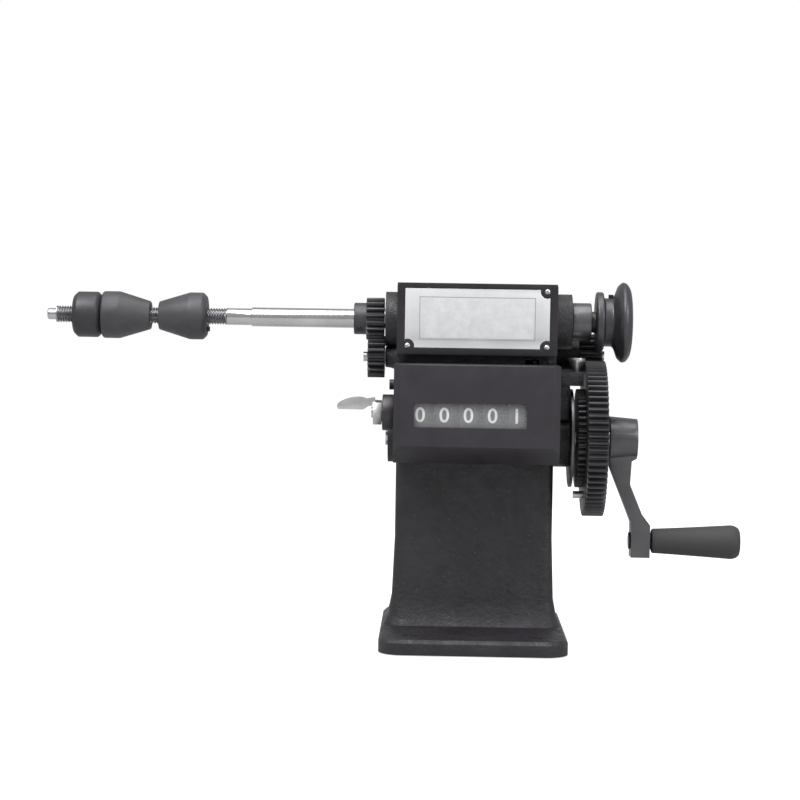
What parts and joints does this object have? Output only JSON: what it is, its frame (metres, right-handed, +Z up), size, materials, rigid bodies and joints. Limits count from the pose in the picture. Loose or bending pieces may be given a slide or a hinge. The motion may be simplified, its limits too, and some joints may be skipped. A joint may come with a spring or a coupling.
{
  "type": "coil winding machine",
  "caption": "Hand-cranked coil winder: cast stand and gear head, open gear train, clamping cones on a long spindle, digit counter, belt pulley and swivelling crank grip.",
  "frame": {"origin": "centre of the four base bolt holes, on the underside of the base", "axes": "+X along the spindle to the crank side, +Y to the back away from the counter, +Z up"},
  "size_m": [0.3319, 0.11, 0.1703],
  "materials": {
    "cast_paint": "black paint over rough sand casting",
    "cover_paint": "smooth black paint",
    "plate_metal": "bare rolled sheet",
    "case_plastic": "fine matte black paint",
    "clear_pane": "clear plastic pane",
    "dark_steel": "machined and blackened steel",
    "bright_steel": "ground bright steel",
    "wheel_plastic": "dark moulded plastic",
    "grip_plastic": "dark moulded plastic"
  },
  "bodies": {
    "housing": {"stand": "cast_paint", "head_cover": "cover_paint", "nameplate": "plate_metal", "counter_case": "case_plastic", "counter_window": "clear_pane", "counter_frame": "dark_steel", "transfer_shaft": "bright_steel", "idler_stud": "bright_steel", "reset_bearing": "dark_steel", "tension_screw": "dark_steel"},
    "spindle_group": {"spindle": "bright_steel", "counter_gear": "dark_steel", "spindle_pinion": "dark_steel", "spindle_collar": "dark_steel", "pulley": "dark_steel"},
    "outer_cone_group": {"outer_cone": "dark_steel"},
    "lock_nut_group": {"lock_nut": "dark_steel"},
    "inner_cone_group": {"inner_cone": "dark_steel", "cone_pin": "dark_steel"},
    "crank_group": {"crank_shaft": "bright_steel", "drive_gear": "dark_steel", "slow_gear": "dark_steel", "gear_disc": "bright_steel", "gear_pin": "bright_steel", "crank_arm": "dark_steel", "grip_bolt": "dark_steel"},
    "grip_group": {"grip": "grip_plastic"},
    "layshaft_group": {"layshaft": "bright_steel", "layshaft_wheel": "dark_steel", "layshaft_pinion": "dark_steel"},
    "input_group": {"input_shaft": "bright_steel", "input_gear": "dark_steel", "input_pinion": "dark_steel"},
    "idler_group": {"idler_cluster": "dark_steel"},
    "drive_group": {"drive_cluster": "dark_steel"},
    "reset_group": {"number_shaft": "bright_steel", "reset_key": "bright_steel"},
    "number_wheel_1_group": {"number_wheel_1": "wheel_plastic"},
    "number_wheel_2_group": {"number_wheel_2": "wheel_plastic"},
    "transfer_pinion_1_group": {"transfer_pinion_1": "wheel_plastic"},
    "number_wheel_3_group": {"number_wheel_3": "wheel_plastic"},
    "transfer_pinion_2_group": {"transfer_pinion_2": "wheel_plastic"},
    "number_wheel_4_group": {"number_wheel_4": "wheel_plastic"},
    "transfer_pinion_3_group": {"transfer_pinion_3": "wheel_plastic"},
    "number_wheel_5_group": {"number_wheel_5": "wheel_plastic"},
    "transfer_pinion_4_group": {"transfer_pinion_4": "wheel_plastic"}
  },
  "joints": [
    {"name": "crank_turn", "type": "hinge", "parent": "housing", "child": "crank_group", "pos_m": [0, 0.006, 0.0957], "axis": [1, 0, 0], "continuous": true},
    {"name": "grip_spin", "type": "hinge", "parent": "crank_group", "child": "grip_group", "pos_m": [0.106, 0.006, 0.0471], "axis": [1, 0, 0], "continuous": true},
    {"name": "spindle_turn", "type": "hinge", "parent": "housing", "child": "spindle_group", "pos_m": [0, 0.006, 0.1511], "axis": [1, 0, 0], "continuous": true},
    {"name": "layshaft_turn", "type": "hinge", "parent": "housing", "child": "layshaft_group", "pos_m": [0, 0.02775, 0.1351], "axis": [1, 0, 0], "continuous": true},
    {"name": "input_turn", "type": "hinge", "parent": "housing", "child": "input_group", "pos_m": [0, 0.006, 0.1331], "axis": [1, 0, 0], "continuous": true},
    {"name": "idler_turn", "type": "hinge", "parent": "housing", "child": "idler_group", "pos_m": [0, -0.0019, 0.12154], "axis": [1, 0, 0], "continuous": true},
    {"name": "drive_turn", "type": "hinge", "parent": "housing", "child": "drive_group", "pos_m": [0, -0.01448, 0.1207], "axis": [1, 0, 0], "continuous": true},
    {"name": "number_wheel_1_turn", "type": "hinge", "parent": "housing", "child": "number_wheel_1_group", "pos_m": [0, -0.0257, 0.1082], "axis": [1, 0, 0], "continuous": true},
    {"name": "number_wheel_2_turn", "type": "hinge", "parent": "housing", "child": "number_wheel_2_group", "pos_m": [0, -0.0257, 0.1082], "axis": [1, 0, 0], "continuous": true},
    {"name": "transfer_pinion_1_turn", "type": "hinge", "parent": "housing", "child": "transfer_pinion_1_group", "pos_m": [0, -0.01448, 0.1207], "axis": [1, 0, 0], "continuous": true},
    {"name": "number_wheel_3_turn", "type": "hinge", "parent": "housing", "child": "number_wheel_3_group", "pos_m": [0, -0.0257, 0.1082], "axis": [1, 0, 0], "continuous": true},
    {"name": "transfer_pinion_2_turn", "type": "hinge", "parent": "housing", "child": "transfer_pinion_2_group", "pos_m": [0, -0.01448, 0.1207], "axis": [1, 0, 0], "continuous": true},
    {"name": "number_wheel_4_turn", "type": "hinge", "parent": "housing", "child": "number_wheel_4_group", "pos_m": [0, -0.0257, 0.1082], "axis": [1, 0, 0], "continuous": true},
    {"name": "transfer_pinion_3_turn", "type": "hinge", "parent": "housing", "child": "transfer_pinion_3_group", "pos_m": [0, -0.01448, 0.1207], "axis": [1, 0, 0], "continuous": true},
    {"name": "number_wheel_5_turn", "type": "hinge", "parent": "housing", "child": "number_wheel_5_group", "pos_m": [0, -0.0257, 0.1082], "axis": [1, 0, 0], "continuous": true},
    {"name": "transfer_pinion_4_turn", "type": "hinge", "parent": "housing", "child": "transfer_pinion_4_group", "pos_m": [0, -0.01448, 0.1207], "axis": [1, 0, 0], "continuous": true},
    {"name": "reset_turn", "type": "hinge", "parent": "housing", "child": "reset_group", "pos_m": [0, -0.0257, 0.1082], "axis": [1, 0, 0], "range_deg": [0, 360]},
    {"name": "outer_cone_slide", "type": "slide", "parent": "spindle_group", "child": "outer_cone_group", "axis": [-1, 0, 0], "range_m": [0, 0.008]},
    {"name": "lock_nut_turn", "type": "hinge", "parent": "outer_cone_group", "child": "lock_nut_group", "pos_m": [-0.185, 0.006, 0.1511], "axis": [-1, 0, 0], "range_deg": [0, 2310]},
    {"name": "inner_cone_slide", "type": "slide", "parent": "spindle_group", "child": "inner_cone_group", "axis": [1, 0, 0], "range_m": [0, 0.0205]}
  ],
  "couplings": [
    {"joint": "spindle_turn", "follows": "crank_turn", "ratio": 8},
    {"joint": "layshaft_turn", "follows": "crank_turn", "ratio": -4},
    {"joint": "input_turn", "follows": "crank_turn", "ratio": -8},
    {"joint": "idler_turn", "follows": "crank_turn", "ratio": 2.6667},
    {"joint": "drive_turn", "follows": "crank_turn", "ratio": -2},
    {"joint": "number_wheel_1_turn", "follows": "crank_turn", "ratio": 0.8},
    {"joint": "number_wheel_2_turn", "follows": "crank_turn", "ratio": 0.08},
    {"joint": "transfer_pinion_1_turn", "follows": "crank_turn", "ratio": -0.2},
    {"joint": "number_wheel_3_turn", "follows": "crank_turn", "ratio": 0.008},
    {"joint": "transfer_pinion_2_turn", "follows": "crank_turn", "ratio": -0.02},
    {"joint": "number_wheel_4_turn", "follows": "crank_turn", "ratio": 0.0008},
    {"joint": "transfer_pinion_3_turn", "follows": "crank_turn", "ratio": -0.002},
    {"joint": "number_wheel_5_turn", "follows": "crank_turn", "ratio": 0.00008},
    {"joint": "transfer_pinion_4_turn", "follows": "crank_turn", "ratio": -0.0002},
    {"joint": "lock_nut_turn", "follows": "outer_cone_slide", "rad_per_m": 5026.5}
  ]
}
